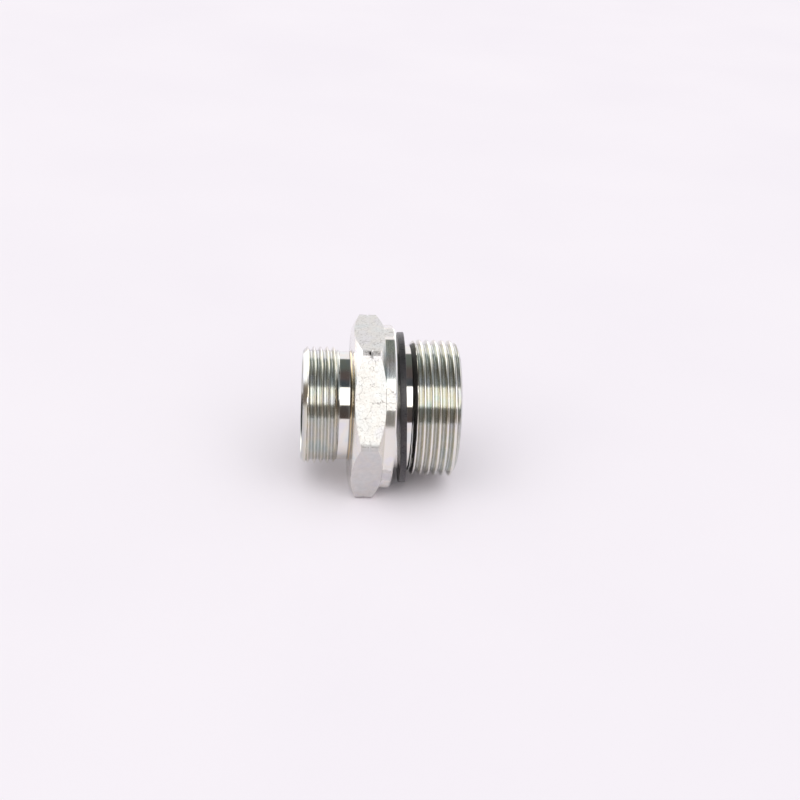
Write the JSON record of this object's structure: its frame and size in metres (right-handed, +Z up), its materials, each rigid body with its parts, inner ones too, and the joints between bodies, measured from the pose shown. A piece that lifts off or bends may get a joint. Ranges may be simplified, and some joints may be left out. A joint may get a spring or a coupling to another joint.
{
  "type": "male stud adapter fitting",
  "caption": "Plated steel stud adapter with a hexagon: a metric-threaded tube socket on one end, a pipe-threaded stud and a loose black sealing ring on the other.",
  "frame": {"origin": "on the fitting's axis, at the collar's sealing face", "axes": "+X along the axis, out of the stud end; +Z up, square to the hexagon flat that the fitting lies on"},
  "size_m": [0.0472, 0.0562, 0.0494],
  "materials": {
    "plated_steel": "bright zinc plating, turned faces smooth, forged flats dull and pitted",
    "black_rubber": "matt black elastomer"
  },
  "bodies": {
    "root": {"body": "plated_steel", "seal_ring": "black_rubber"}
  },
  "joints": []
}
